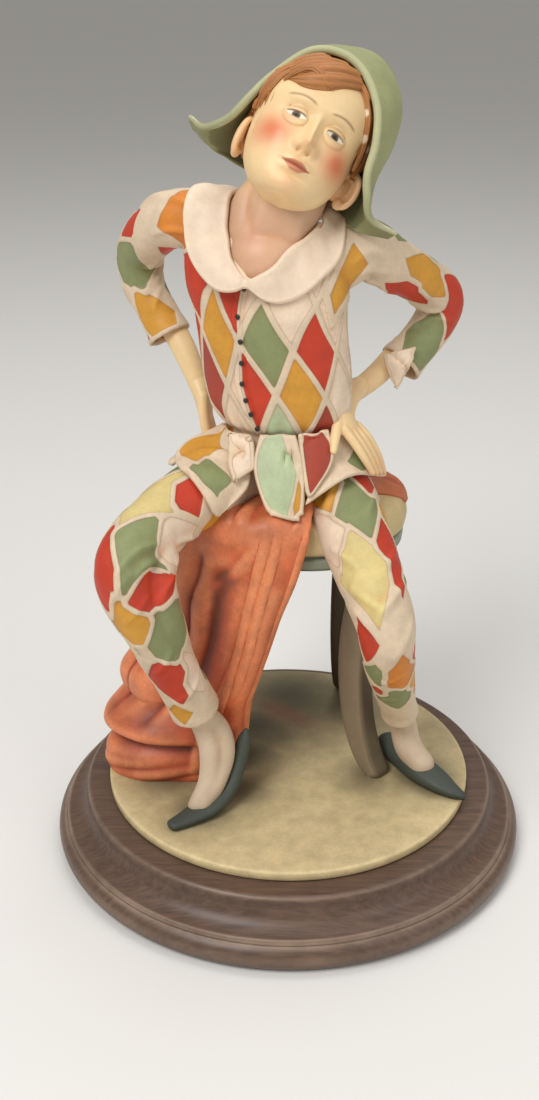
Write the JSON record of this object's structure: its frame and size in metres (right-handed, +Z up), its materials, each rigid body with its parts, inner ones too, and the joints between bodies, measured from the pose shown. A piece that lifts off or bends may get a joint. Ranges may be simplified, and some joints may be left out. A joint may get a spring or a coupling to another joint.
{
  "type": "porcelain harlequin figurine",
  "caption": "Seated harlequin in painted bisque porcelain, hands on hips, on a cloaked stool and a turned wooden plinth.",
  "frame": {"origin": "bottom centre of the plinth, on the surface it stands on", "axes": "+Z up through the hat, the figure looks toward -Y, its left hand is on +X"},
  "size_m": [0.1818, 0.1818, 0.2914],
  "materials": {
    "bisque": "matt painted bisque porcelain, in a lozenge pattern",
    "wood": "brown stained and waxed turned wood"
  },
  "bodies": {
    "root": {"porcelain_harlequin": "bisque", "wooden_plinth": "wood"}
  },
  "joints": []
}
